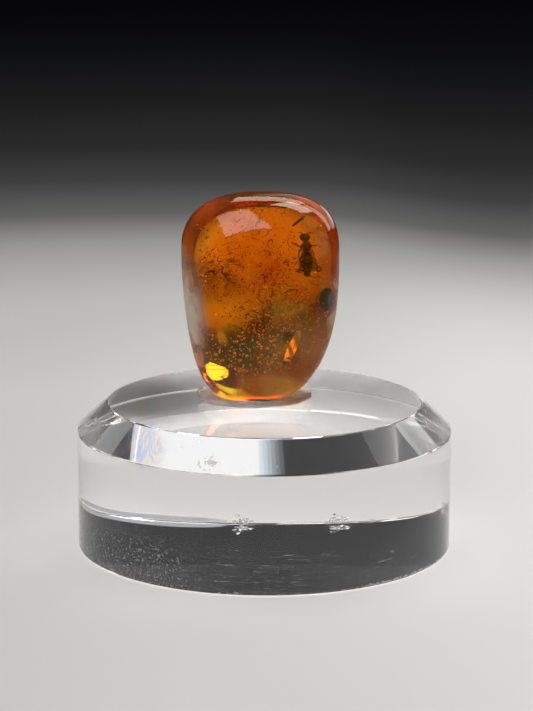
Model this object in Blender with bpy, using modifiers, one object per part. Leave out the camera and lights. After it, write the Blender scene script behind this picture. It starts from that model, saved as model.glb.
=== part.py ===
"""A fossil insect in a polished amber pebble, shown on a clear acrylic disc.

The pebble stands on its narrow end in a small lump of clear putty. It is parted in two by an upright
plane through the pockets that hold the insect, a plant splinter and a dark flake. Metres, +Z up; the
origin is the centre of the disc's underside, and the pebble's broad face looks along -Y.
"""
import math

import bmesh
import bpy
from mathutils import Matrix, Vector

MM = 0.001
CLEARANCE = 0.25 * MM        # between pieces that touch
PARTING_GAP = 0.3 * MM       # between the pebble's two halves

# Display base: a turned disc with a bevel round its top face
BASE_RADIUS = 25.0 * MM
BASE_HEIGHT = 19.4 * MM
BASE_WALL_HEIGHT = 15.6 * MM
BASE_TOP_RADIUS = 21.0 * MM
BASE_FOOT_CHAMFER = 0.3 * MM
BASE_STEPS = 72

# Amber pebble: an outline of two half superellipses, and a rounded, nearly flat face on either side
PEBBLE_MIDDLE = Vector((-0.68 * MM, -3.3 * MM, 35.0 * MM))
PEBBLE_HALF_WIDTH = 10.4 * MM
PEBBLE_WIDEST_Z = 39.8 * MM
PEBBLE_TOP_Z = 48.05 * MM
PEBBLE_FOOT_Z = 20.05 * MM
PEBBLE_FRONT_BULGE = 5.6 * MM
PEBBLE_BACK_BULGE = 6.2 * MM
PEBBLE_FOOT_LEAN = -0.97 * MM     # the foot's sideways shift, and the top's
PEBBLE_TOP_LEAN = 0.39 * MM
OUTLINE_POWER = 2.57
FACE_POWER = 2.5
LEAN_POWER = 3.6
PEBBLE_SWELL = 0.03               # how far the faces swell and sink, as a share of their bulge
PEBBLE_CAGE_CUTS = 7

# What is sealed in the pebble
INSECT_MIDDLE = Vector((5.0 * MM, -5.4 * MM, 40.3 * MM))
INSECT_POCKET = Vector((2.05 * MM, 1.35 * MM, 3.3 * MM))
INSECT_POCKET_SHIFT = Vector((0.3 * MM, 0.0, -0.1 * MM))
SPLINTER_MIDDLE = Vector((4.2 * MM, -5.6 * MM, 44.4 * MM))
SPLINTER_LENGTH = 1.8 * MM
SPLINTER_RADIUS = 0.19 * MM
SPLINTER_SLOPE = math.radians(39)
FLAKE_MIDDLE = Vector((7.7 * MM, -5.9 * MM, 34.45 * MM))
FLAKE_HALF_SIZE = Vector((1.1 * MM, 0.3 * MM, 1.5 * MM))
FLAKE_TURN = math.radians(40)
PARTING_Y = -5.6 * MM

# Insect, from its middle: x across, y away from the front face, z towards the head
HEAD = ((-0.05, 0.0, 2.0), (0.6, 0.48, 0.5))
EYE = (0.26, 0.3, 0.3)
EYE_OFFSET = (0.42, -0.2, 0.1)
NECK = ((0.0, 0.0, 1.45), (0.26, 0.26, 0.35))
THORAX = ((0.12, 0.0, 0.9), (0.52, 0.55, 0.62))
WAIST = ((0.12, 0.05, 0.2), (0.28, 0.28, 0.4))
ABDOMEN = ((0.1, 0.08, -1.05), (0.66, 0.52, 1.3))
TAIL = ((0.0, 0.1, -2.3), (0.3, 0.26, 0.5))
WING_HALF_SIZE = (0.46, 0.07, 1.5)
WINGS = (((0.72, 0.12, -0.85), math.radians(17)), ((-0.3, 0.42, -0.85), math.radians(-9)))
LIMB_RADIUS = 0.085
LIMBS = {
    "right_fore_leg": ((0.3, -0.2, 1.15), (0.95, -0.3, 1.05), (1.7, -0.25, 1.2)),
    "left_fore_leg": ((-0.1, -0.2, 1.2), (-0.6, -0.45, 1.1), (-0.55, -0.55, 0.55)),
    "right_middle_leg": ((0.35, -0.25, 0.8), (0.9, -0.5, 0.5), (1.0, -0.4, -0.3), (1.35, -0.35, -0.75)),
    "left_middle_leg": ((-0.1, -0.3, 0.8), (-0.75, -0.5, 0.45), (-0.85, -0.5, -0.35), (-0.7, -0.5, -0.9)),
    "right_hind_leg": ((0.35, -0.2, 0.5), (0.75, -0.55, -0.3), (0.6, -0.6, -1.3), (0.95, -0.45, -2.0)),
    "left_hind_leg": ((-0.05, -0.2, 0.5), (-0.7, -0.45, -0.5), (-0.6, -0.5, -1.5), (-0.85, -0.4, -2.3)),
    "right_feeler": ((0.15, -0.2, 2.3), (0.45, -0.45, 2.7), (0.85, -0.5, 2.8)),
    "left_feeler": ((-0.2, -0.2, 2.3), (-0.5, -0.45, 2.7), (-0.9, -0.5, 2.7)),
}

# Mounting putty: a low oval lump with the pebble's foot pressed into it
PUTTY_MIDDLE = Vector((-1.6 * MM, -1.9 * MM, 0.0))
PUTTY_HALF_WIDTH = 7.3 * MM
PUTTY_HALF_DEPTH = 4.2 * MM
PUTTY_HEIGHT = 2.1 * MM
PUTTY_POWER = 3.2                 # how square its corners and its top edge are
PUTTY_LUMPS = 0.07
PUTTY_CAGE_CUTS = 5


def material(name, colour, roughness, alpha=1.0, ior=1.5):
    """A plain material; a clear one lets light through and shows partly see-through in a viewport."""
    made = bpy.data.materials.new(name)
    made.use_nodes = True
    made.diffuse_color = (*colour, alpha)
    shader = made.node_tree.nodes["Principled BSDF"]
    shader.inputs["Base Color"].default_value = (*colour, 1.0)
    shader.inputs["Metallic"].default_value = 0.0
    shader.inputs["Roughness"].default_value = roughness
    shader.inputs["IOR"].default_value = ior
    shader.inputs["Transmission Weight"].default_value = 1.0 if alpha < 1.0 else 0.0
    return made


def add_object(name, bm, collection, finish=None):
    """Turn a bmesh into a smooth-shaded object of a collection."""
    mesh = bpy.data.meshes.new(name)
    bmesh.ops.recalc_face_normals(bm, faces=bm.faces)
    bm.to_mesh(mesh)
    bm.free()
    if finish:
        mesh.materials.append(finish)
    mesh.shade_smooth()
    made = bpy.data.objects.new(name, mesh)
    collection.objects.link(made)
    return made


def add_cutter(name, bm, collection):
    """A hidden helper shape for a Boolean modifier."""
    cutter = add_object(name, bm, collection)
    cutter.hide_render = True
    cutter.display_type = 'WIRE'
    return cutter


def boolean(target, operation, cutter):
    """Cut or join with one helper, exactly."""
    modifier = target.modifiers.new(cutter.name, 'BOOLEAN')
    modifier.operation = operation
    modifier.object = cutter
    modifier.solver = 'EXACT'


def subdivide(target, levels):
    """Round a cage off, the same for the viewport as for a render."""
    modifier = target.modifiers.new("rounding", 'SUBSURF')
    modifier.levels = levels
    modifier.render_levels = levels


def ball_cage(cuts):
    """A sphere of radius 1 made of even squares: a cut cube with its points pushed out."""
    bm = bmesh.new()
    bmesh.ops.create_cube(bm, size=2.0)
    bmesh.ops.subdivide_edges(bm, edges=bm.edges, cuts=cuts - 1, use_grid_fill=True)
    for vertex in bm.verts:
        x, y, z = vertex.co
        vertex.co = Vector((x * math.sqrt(1 - y * y / 2 - z * z / 2 + y * y * z * z / 3),
                            y * math.sqrt(1 - z * z / 2 - x * x / 2 + z * z * x * x / 3),
                            z * math.sqrt(1 - x * x / 2 - y * y / 2 + x * x * y * y / 3)))
    return bm


def signed_power(value, power):
    return math.copysign(abs(value) ** power, value)


def pebble_point(direction, grow=0.0):
    """Where the pebble's surface lies in a direction: the outline's point, drawn in to the faces."""
    rim = math.hypot(direction.x, direction.z)
    side = signed_power(direction.x / rim, 2 / OUTLINE_POWER) if rim else 0.0
    rise = signed_power(direction.z / rim, 2 / OUTLINE_POWER) if rim else 0.0
    up, down = max(rise, 0.0), max(-rise, 0.0)
    lean = PEBBLE_TOP_LEAN * up ** 2 + PEBBLE_FOOT_LEAN * down ** LEAN_POWER
    outline_x = PEBBLE_MIDDLE.x + (PEBBLE_HALF_WIDTH + grow) * side + lean
    outline_z = (PEBBLE_WIDEST_Z + up * (PEBBLE_TOP_Z + grow - PEBBLE_WIDEST_Z)
                 - down * (PEBBLE_WIDEST_Z - PEBBLE_FOOT_Z + grow))
    spread = rim ** (2 / FACE_POWER)
    x = PEBBLE_MIDDLE.x + spread * (outline_x - PEBBLE_MIDDLE.x)
    z = PEBBLE_MIDDLE.z + spread * (outline_z - PEBBLE_MIDDLE.z)
    swell = 1 + PEBBLE_SWELL * math.sin(3.1 * direction.x + 1.7 * direction.z + 0.8)
    bulge = (PEBBLE_FRONT_BULGE if direction.y < 0 else PEBBLE_BACK_BULGE) * swell + grow
    return Vector((x, PEBBLE_MIDDLE.y + bulge * signed_power(direction.y, 2 / FACE_POWER), z))


def pebble_cage(grow=0.0):
    bm = ball_cage(PEBBLE_CAGE_CUTS)
    for vertex in bm.verts:
        vertex.co = pebble_point(vertex.co.normalized(), grow)
    return bm


def ellipsoid(middle, half_size, turn=None, segments=16, rings=10):
    bm = bmesh.new()
    bmesh.ops.create_uvsphere(bm, u_segments=segments, v_segments=rings, radius=1.0)
    bmesh.ops.scale(bm, vec=Vector(half_size), verts=bm.verts)
    bmesh.ops.transform(bm, matrix=Matrix.Translation(middle) @ (turn or Matrix()), verts=bm.verts)
    return bm


def make_base(parts):
    """The disc, turned from the half section of its outside."""
    profile = [(0.0, BASE_HEIGHT), (BASE_TOP_RADIUS, BASE_HEIGHT), (BASE_RADIUS, BASE_WALL_HEIGHT),
               (BASE_RADIUS, BASE_FOOT_CHAMFER), (BASE_RADIUS - BASE_FOOT_CHAMFER, 0.0), (0.0, 0.0)]
    bm = bmesh.new()
    points = [bm.verts.new((radius, 0.0, height)) for radius, height in profile]
    for upper, lower in zip(points, points[1:]):
        bm.edges.new((upper, lower))
    base = add_object("display_base", bm, parts,
                      material("clear_acrylic", (0.86, 0.88, 0.88), 0.03, alpha=0.25, ior=1.49))
    screw = base.modifiers.new("turning", 'SCREW')
    screw.axis = 'Z'
    screw.steps = BASE_STEPS
    screw.render_steps = BASE_STEPS
    screw.use_merge_vertices = True
    screw.merge_threshold = 0.00001
    screw.use_smooth_shade = False
    return base


def make_putty(parts, cutters):
    """A squarish oval lump with a flat underside, dished where the pebble's foot is pressed in."""
    bm = ball_cage(PUTTY_CAGE_CUTS)
    underside = BASE_HEIGHT + CLEARANCE
    for vertex in bm.verts:
        d = vertex.co.normalized()
        rim = math.hypot(d.x, d.y)
        spread = rim ** (2 / PUTTY_POWER)
        turn = math.atan2(d.y, d.x)
        lumps = 1 + PUTTY_LUMPS * math.sin(3 * turn + 0.6) + 0.5 * PUTTY_LUMPS * math.sin(7 * turn)
        side = signed_power(math.cos(turn), 2 / OUTLINE_POWER) * spread * lumps
        depth = signed_power(math.sin(turn), 2 / OUTLINE_POWER) * spread * lumps
        height = 0.5 + 0.5 * signed_power(d.z, 2 / PUTTY_POWER)
        vertex.co = Vector((PUTTY_MIDDLE.x + PUTTY_HALF_WIDTH * side,
                            PUTTY_MIDDLE.y + PUTTY_HALF_DEPTH * depth,
                            underside + PUTTY_HEIGHT * height))
    putty = add_object("mounting_putty", bm, parts,
                       material("clear_putty", (0.62, 0.6, 0.52), 0.45, alpha=0.7, ior=1.45))
    subdivide(putty, 1)
    floor = bmesh.new()
    bmesh.ops.create_cube(floor, size=1.0)
    bmesh.ops.scale(floor, vec=Vector((BASE_RADIUS, BASE_RADIUS, PUTTY_HEIGHT)), verts=floor.verts)
    bmesh.ops.translate(floor, vec=Vector((0, 0, underside - PUTTY_HEIGHT / 2 + 0.1 * MM)), verts=floor.verts)
    boolean(putty, 'DIFFERENCE', add_cutter("putty_underside", floor, cutters))
    foot = add_cutter("pebble_foot_print", pebble_cage(CLEARANCE), cutters)
    subdivide(foot, 1)
    boolean(putty, 'DIFFERENCE', foot)
    return putty


def insect_place(point):
    return INSECT_MIDDLE + Vector(point) * MM


def make_limb(name, points, collection):
    """A thin tube along a bent line, made a closed mesh so that it can be joined on."""
    curve = bpy.data.curves.new(name, 'CURVE')
    curve.dimensions = '3D'
    curve.bevel_depth = LIMB_RADIUS * MM
    curve.bevel_resolution = 1
    curve.use_fill_caps = True
    spline = curve.splines.new('POLY')
    spline.points.add(len(points) - 1)
    for index, (knot, point) in enumerate(zip(spline.points, points)):
        knot.co = (*insect_place(point), 1.0)
        knot.radius = 1.25 - 0.5 * index / (len(points) - 1)
    tube = bpy.data.objects.new(name, curve)
    bpy.context.scene.collection.objects.link(tube)
    shape = bpy.data.meshes.new_from_object(tube.evaluated_get(bpy.context.evaluated_depsgraph_get()))
    bpy.data.objects.remove(tube)
    bm = bmesh.new()
    bm.from_mesh(shape)
    bpy.data.meshes.remove(shape)
    bmesh.ops.remove_doubles(bm, verts=bm.verts, dist=0.001 * MM)
    return add_cutter(name, bm, collection)


def body_part(name, place, collection, segments=16, rings=10):
    middle, half_size = place
    return add_cutter(name, ellipsoid(insect_place(middle), Vector(half_size) * MM,
                                      segments=segments, rings=rings), collection)


def make_insect(parts, members):
    """Head, eyes, body, wings, legs and feelers, joined into one solid."""
    joined = {"head": HEAD, "neck": NECK, "waist": WAIST, "abdomen": ABDOMEN, "tail": TAIL}
    for name, place in joined.items():
        body_part(name, place, members)
    for side in (-1, 1):
        middle = (HEAD[0][0] + side * EYE_OFFSET[0], HEAD[0][1] + EYE_OFFSET[1], HEAD[0][2] + EYE_OFFSET[2])
        body_part("eye", (middle, EYE), members, segments=12, rings=8)
    for middle, slope in WINGS:
        wing = ellipsoid(insect_place(middle), Vector(WING_HALF_SIZE) * MM,
                         Matrix.Rotation(-slope, 4, 'Y'), segments=20, rings=10)
        add_cutter("wing", wing, members)
    for name, points in LIMBS.items():
        make_limb(name, points, members)
    middle, half_size = THORAX
    insect = add_object("insect", ellipsoid(insect_place(middle), Vector(half_size) * MM), parts,
                        material("insect_chitin", (0.06, 0.035, 0.012), 0.45))
    join = insect.modifiers.new("members", 'BOOLEAN')
    join.operation = 'UNION'
    join.operand_type = 'COLLECTION'
    join.collection = members
    join.solver = 'EXACT'
    return insect


def make_splinter(parts):
    """A slender splinter, thickest in its middle."""
    bm = bmesh.new()
    bmesh.ops.create_cone(bm, cap_ends=True, segments=8, radius1=SPLINTER_RADIUS, radius2=SPLINTER_RADIUS,
                          depth=SPLINTER_LENGTH)
    long_edges = [edge for edge in bm.edges if abs((edge.verts[0].co - edge.verts[1].co).z) > SPLINTER_RADIUS]
    bmesh.ops.subdivide_edges(bm, edges=long_edges, cuts=5)
    for vertex in bm.verts:
        along = 2 * vertex.co.z / SPLINTER_LENGTH
        vertex.co.x *= 1 - 0.6 * along ** 4
        vertex.co.y *= 0.6 * (1 - 0.5 * along ** 4)
    turn = Matrix.Translation(SPLINTER_MIDDLE) @ Matrix.Rotation(math.pi / 2 - SPLINTER_SLOPE, 4, 'Y')
    bmesh.ops.transform(bm, matrix=turn, verts=bm.verts)
    return add_object("splinter", bm, parts, material("dark_wood", (0.07, 0.045, 0.01), 0.6))


def make_flake(parts):
    """A flat oval flake, its broad side turned to the pebble's rounded edge."""
    bm = ellipsoid(FLAKE_MIDDLE, FLAKE_HALF_SIZE, Matrix.Rotation(FLAKE_TURN, 4, 'Z'), segments=16, rings=8)
    return add_object("dark_flake", bm, parts, material("charred_flake", (0.03, 0.032, 0.03), 0.5))


def make_pockets(cutters):
    """The hollows round what is sealed in, each a clearance larger than what it holds."""
    clear = Vector((CLEARANCE, CLEARANCE, CLEARANCE))
    insect = ellipsoid(INSECT_MIDDLE + INSECT_POCKET_SHIFT, INSECT_POCKET, segments=20, rings=10)
    splinter = ellipsoid(SPLINTER_MIDDLE, Vector((SPLINTER_RADIUS, SPLINTER_RADIUS, 0.6 * SPLINTER_LENGTH))
                         + 1.5 * clear, Matrix.Rotation(math.pi / 2 - SPLINTER_SLOPE, 4, 'Y'))
    flake = ellipsoid(FLAKE_MIDDLE, FLAKE_HALF_SIZE + clear, Matrix.Rotation(FLAKE_TURN, 4, 'Z'),
                      segments=16, rings=8)
    return [add_cutter("insect_pocket", insect, cutters), add_cutter("splinter_pocket", splinter, cutters),
            add_cutter("flake_pocket", flake, cutters)]


def make_pebble(parts, cutters):
    """The amber in two halves: one shape, kept on one side of the parting plane, less its pockets."""
    finish = material("amber", (0.85, 0.32, 0.02), 0.04, alpha=0.55, ior=1.54)
    pockets = make_pockets(cutters)
    reach = 2 * (PEBBLE_TOP_Z - PEBBLE_FOOT_Z)
    for name, side in (("amber_front", -1), ("amber_back", 1)):
        half = add_object(name, pebble_cage(), parts, finish)
        subdivide(half, 1)
        block = bmesh.new()
        bmesh.ops.create_cube(block, size=reach)
        to_middle = side * (reach + PARTING_GAP) / 2
        bmesh.ops.translate(block, vec=Vector((0, PARTING_Y + to_middle, PEBBLE_MIDDLE.z)), verts=block.verts)
        boolean(half, 'INTERSECT', add_cutter(name + "_side", block, cutters))
        for pocket in pockets:
            boolean(half, 'DIFFERENCE', pocket)


def new_collection(name):
    made = bpy.data.collections.new(name)
    bpy.context.scene.collection.children.link(made)
    return made


def main():
    for old in list(bpy.data.objects):
        bpy.data.objects.remove(old)
    parts = new_collection("insect_in_amber")
    cutters = new_collection("cutters")
    members = new_collection("insect_members")
    make_base(parts)
    make_putty(parts, cutters)
    make_insect(parts, members)
    make_splinter(parts)
    make_flake(parts)
    make_pebble(parts, cutters)


main()
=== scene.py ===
# %% [markdown]
# # A fossil insect in amber on a clear display disc
#
# The object is a polished amber pebble with a small fly sealed in it. It stands on its narrow end in a
# lump of clear putty, on a bevelled acrylic disc. Nearly everything here is see-through, so the lesson is
# about light: clear bodies show what is behind, above and below them, and they show it upside down.
#
# The first cell loads the measured frame. Every length below is in millimetres times `MM`, in its axes:
# +Z up, -Y towards the viewer, the origin under the middle of the disc.

# %% Load the frame
import math
import random

import bmesh
import bpy
from mathutils import Matrix, Vector
from mathutils.bvhtree import BVHTree


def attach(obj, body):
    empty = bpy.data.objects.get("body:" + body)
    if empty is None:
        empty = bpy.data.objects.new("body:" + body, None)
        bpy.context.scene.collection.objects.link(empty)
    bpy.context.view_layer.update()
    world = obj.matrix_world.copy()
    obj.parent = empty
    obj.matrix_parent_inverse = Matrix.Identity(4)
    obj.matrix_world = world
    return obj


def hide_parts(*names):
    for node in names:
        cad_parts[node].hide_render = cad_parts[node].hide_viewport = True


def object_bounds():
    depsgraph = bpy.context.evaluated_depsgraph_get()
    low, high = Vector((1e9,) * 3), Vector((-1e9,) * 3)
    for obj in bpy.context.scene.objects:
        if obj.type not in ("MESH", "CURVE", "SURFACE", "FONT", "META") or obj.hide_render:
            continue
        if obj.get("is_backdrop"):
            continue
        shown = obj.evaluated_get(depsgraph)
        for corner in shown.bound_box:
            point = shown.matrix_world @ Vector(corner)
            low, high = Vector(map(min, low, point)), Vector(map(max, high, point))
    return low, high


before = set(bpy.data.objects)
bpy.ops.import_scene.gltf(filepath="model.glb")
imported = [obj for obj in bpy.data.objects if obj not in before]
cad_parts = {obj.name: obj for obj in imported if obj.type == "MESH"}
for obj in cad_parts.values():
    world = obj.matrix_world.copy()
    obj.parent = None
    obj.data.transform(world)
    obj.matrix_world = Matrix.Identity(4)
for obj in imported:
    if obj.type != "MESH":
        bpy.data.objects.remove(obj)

MM = 0.001
frame_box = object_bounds()
print("frame nodes:", sorted(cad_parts))

# %% [markdown]
# ## Small helpers for meshes
#
# A piece is made in a bmesh and then turned into an object that stays at the origin, unturned, with its
# place in its mesh. Two of them carry most of the lesson: a ball cut from a cube, whose squares stay even
# when it is pushed into a pebble, and `blob`, a cheap round body for things that come by the hundred.

# %% Mesh helpers
def ball_cage(cuts):
    """A ball of radius 1 from a cut cube: no poles, and squares of nearly one size."""
    bm = bmesh.new()
    bmesh.ops.create_cube(bm, size=2.0)
    bmesh.ops.subdivide_edges(bm, edges=bm.edges, cuts=cuts - 1, use_grid_fill=True)
    for vertex in bm.verts:
        x, y, z = vertex.co
        vertex.co = Vector((x * math.sqrt(1 - y * y / 2 - z * z / 2 + y * y * z * z / 3),
                            y * math.sqrt(1 - z * z / 2 - x * x / 2 + z * z * x * x / 3),
                            z * math.sqrt(1 - x * x / 2 - y * y / 2 + x * x * y * y / 3)))
    return bm


def blob(bm, middle, size, turn=None, subdivisions=1):
    """Add a small round body of three half sizes to a bmesh."""
    place = Matrix.Translation(middle) @ (turn or Matrix()) @ Matrix.Diagonal((*size, 1.0))
    bmesh.ops.create_icosphere(bm, subdivisions=subdivisions, radius=1.0, matrix=place)


def place_in_scene(name, data):
    made = bpy.data.objects.new(name, data)
    bpy.context.scene.collection.objects.link(made)
    return made


def mesh_object(name, bm, material):
    """Turn a bmesh into an object of one material."""
    mesh = bpy.data.meshes.new(name)
    bm.to_mesh(mesh)
    bm.free()
    mesh.materials.append(material)
    return place_in_scene(name, mesh)


def add_piece(name, bm, material, levels=0, replaces=()):
    """Turn a bmesh into a smooth piece of the object that rides on the one body."""
    piece = mesh_object(name, bm, material)
    piece.data.shade_smooth()
    if levels:
        rounding = piece.modifiers.new("rounding", 'SUBSURF')
        rounding.levels = levels
        rounding.render_levels = levels
    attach(piece, "root")
    if replaces:
        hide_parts(*replaces)
    print(f"{name}: {len(piece.data.polygons)} faces before rounding")
    return piece


def tube(bm, points, radii, sides=6):
    """Add a closed round bar along bent points, with one radius for each point."""
    points = [Vector(point) for point in points]
    rings = []
    for index, (point, radius) in enumerate(zip(points, radii)):
        along = (points[min(index + 1, len(points) - 1)] - points[max(index - 1, 0)]).normalized()
        across = along.cross(Vector((0.13, 0.97, 0.21))).normalized()
        over = along.cross(across)
        corners = [2 * math.pi * step / sides for step in range(sides)]
        rings.append([bm.verts.new(point + radius * (math.cos(turn) * across + math.sin(turn) * over))
                      for turn in corners])
    for lower, upper in zip(rings, rings[1:]):
        for step in range(sides):
            following = (step + 1) % sides
            bm.faces.new((lower[step], lower[following], upper[following], upper[step]))
    bm.faces.new(reversed(rings[0]))
    bm.faces.new(rings[-1])


def signed_power(value, power):
    return math.copysign(abs(value) ** power, value)


def random_turn(chance):
    """A turn about two axes, which is enough for a round body."""
    return Matrix.Rotation(chance.uniform(0, 6.28), 4, 'X') @ Matrix.Rotation(chance.uniform(0, 6.28), 4, 'Z')


# %% [markdown]
# ## Materials as sums
#
# A material is a small calculation. `Value` wraps a node's output so that `0.2 + 0.5 * noise` adds the
# Math nodes by itself, and `Finish` holds one material: its shader, and a method that adds any node. Most
# places on this object are named one by one, so `near` gives a soft oval seen from the front, and `spots` a
# whole table of them.

# %% Shader helpers
class Value:
    """A number in a material that can be added, subtracted and multiplied like a Python number."""

    def __init__(self, finish, socket):
        self.finish = finish
        self.socket = socket

    def math(self, operation, *others):
        return self.finish.node("ShaderNodeMath", {"operation": operation}, dict(enumerate((self, *others))))

    def capped(self, most=1.0):
        return self.math('MINIMUM', most)

    def __add__(self, other):
        return self.math('ADD', other)

    __radd__ = __add__

    def __mul__(self, other):
        return self.math('MULTIPLY', other)

    __rmul__ = __mul__

    def __sub__(self, other):
        return self.math('SUBTRACT', other)

    def __rsub__(self, other):
        return self.finish.node("ShaderNodeMath", {"operation": 'SUBTRACT'}, {0: other, 1: self})


class Finish:
    """One material: a Principled shader, fixed values on its own sockets, and nodes that feed the rest."""

    def __init__(self, name, fixed):
        self.material = bpy.data.materials.new(name)
        self.material.use_nodes = True
        self.tree = self.material.node_tree
        self.shader = self.tree.nodes["Principled BSDF"]
        self.output = self.tree.nodes["Material Output"]
        for socket, value in fixed.items():
            self.shader.inputs[socket].default_value = value

    def node(self, kind, settings=None, inputs=None, output=0):
        made = self.tree.nodes.new(kind)
        for name, value in (settings or {}).items():
            if name == "stops":
                self.set_stops(made.color_ramp, value)
            else:
                setattr(made, name, value)
        for name, value in (inputs or {}).items():
            self.feed(made.inputs[name], value)
        return Value(self, made.outputs[output])

    def set_stops(self, ramp, stops):
        while len(ramp.elements) < len(stops):
            ramp.elements.new(0.5)
        for element, (place, colour) in zip(ramp.elements, stops):
            element.position = place
            element.color = (*colour, 1.0) if len(colour) == 3 else colour

    def feed(self, socket, value):
        if isinstance(value, Value):
            self.tree.links.new(value.socket, socket)
        else:
            socket.default_value = value

    def set(self, **links):
        """Feed the shader's sockets, named with underscores for their spaces."""
        for name, value in links.items():
            self.feed(self.shader.inputs[name.replace("_", " ")], value)

    def place(self):
        return self.node("ShaderNodeTexCoord", output="Object")

    def axis(self, index):
        """One coordinate of the place, in metres: 0 across, 1 away from the viewer, 2 up."""
        return self.node("ShaderNodeSeparateXYZ", {}, {0: self.place()}, output=index)

    def stretched(self, *scales):
        """The place with each axis scaled on its own, for textures drawn out one way."""
        return self.node("ShaderNodeVectorMath", {"operation": 'MULTIPLY'}, {0: self.place(), 1: scales})

    def noise(self, scale, detail=2.0, roughness=0.5, vector=None, distortion=0.0):
        return self.node("ShaderNodeTexNoise", {}, {"Vector": vector or self.place(), "Scale": scale,
                                                    "Detail": detail, "Roughness": roughness,
                                                    "Distortion": distortion})

    def mix(self, factor, first, second):
        """Mix two colours; either may be a link or three numbers."""
        first, second = [c if isinstance(c, Value) else (*c, 1.0) for c in (first, second)]
        return self.node("ShaderNodeMix", {"data_type": 'RGBA'}, {0: factor, 6: first, 7: second}, output=2)

    def layered(self, colour, layers):
        """Lay tints over a colour one after the other, each where its share says."""
        for share, tint in layers:
            colour = self.mix(share, colour, tint)
        return colour

    def ramp(self, value, stops):
        return self.node("ShaderNodeValToRGB", {"stops": stops}, {0: value})

    def bump(self, height, strength, distance):
        return self.node("ShaderNodeBump", {}, {"Height": height, "Strength": strength, "Distance": distance})

    def near(self, middle, half_size, start, end, strongest=1.0):
        """How near a point lies to a middle in x and z (mm), faded from start to end times the half sizes."""
        offset = self.node("ShaderNodeVectorMath", {"operation": 'SUBTRACT'},
                           {0: self.place(), 1: (middle[0] * MM, 0.0, middle[1] * MM)})
        scaled = self.node("ShaderNodeVectorMath", {"operation": 'MULTIPLY'},
                           {0: offset, 1: (1 / (half_size[0] * MM), 0.0, 1 / (half_size[1] * MM))})
        away = self.node("ShaderNodeVectorMath", {"operation": 'LENGTH'}, {0: scaled}, output="Value")
        return self.between(away, start, end, strongest)

    def spots(self, table):
        """A `near` for each row of a table of named places."""
        return {name: self.near(*numbers) for name, numbers in table.items()}

    def between(self, value, start, end, strongest=1.0):
        """Zero up to start, then smoothly up to the strongest value at end; it may also run downwards."""
        return self.node("ShaderNodeMapRange", {"interpolation_type": 'SMOOTHSTEP'},
                         {0: value, 1: start, 2: end, 3: 0.0, 4: strongest})

    def grains(self, scale, radius, share):
        """Round spots: a share of a Voronoi texture's cells each carry one of a given radius."""
        inputs = {"Vector": self.place(), "Scale": scale}
        away = self.node("ShaderNodeTexVoronoi", {}, inputs, output="Distance")
        chance = self.node("ShaderNodeSeparateColor", {},
                           {0: self.node("ShaderNodeTexVoronoi", {}, inputs, output="Color")})
        return self.between(away, radius, radius * 0.6) * chance.math('LESS_THAN', share)

    def contours(self, scale, count, width, distortion=1.2):
        """Thin lines of equal height on a noise, like the rings and swirls of poured resin."""
        wave = (self.noise(scale, 3.0, 0.5, distortion=distortion) * (count * 6.283)).math('SINE')
        return self.between(wave, 1 - width, 1.0)

    def absorb(self, colour, density):
        """Plain absorption inside a clear body: what is lost grows with the way the light goes."""
        volume = self.tree.nodes.new("ShaderNodeVolumeAbsorption")
        volume.inputs["Color"].default_value = (*colour, 1.0)
        volume.inputs["Density"].default_value = density
        self.tree.links.new(volume.outputs[0], self.output.inputs["Volume"])


# %% [markdown]
# ## The amber
#
# Amber is a hardened resin: it bends light a little more than glass does (IOR 1.54) and swallows blue at
# once, green slowly and red hardly at all. A volume absorption does that, and makes the long ways through
# the middle deeper than the rim. But it is the same everywhere, and real amber isn't. So the see-through
# shader's own colour, which tints light on its way in and out, adds the clouds of deep, honey and olive
# resin, the thin swirls, the dark specks and a lighter left rim. The same colour also carries painted shade
# on the right side, along the top rim and where the sole sits in the putty, and painted light where light
# shines through the lower left. Each has its place in a table of soft ovals.

# %% Amber finish
AMBER_IOR = 1.54
AMBER_COLOUR = (0.95, 0.39, 0.015)
AMBER_DENSITY = 80.0
AMBER_TINT = (0.93, 0.285, 0.007)
DEEP_TINT = (0.7, 0.13, 0.002)
HONEY_TINT = (1.0, 0.42, 0.01)
OLIVE_TINT = (0.72, 0.46, 0.02)
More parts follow.
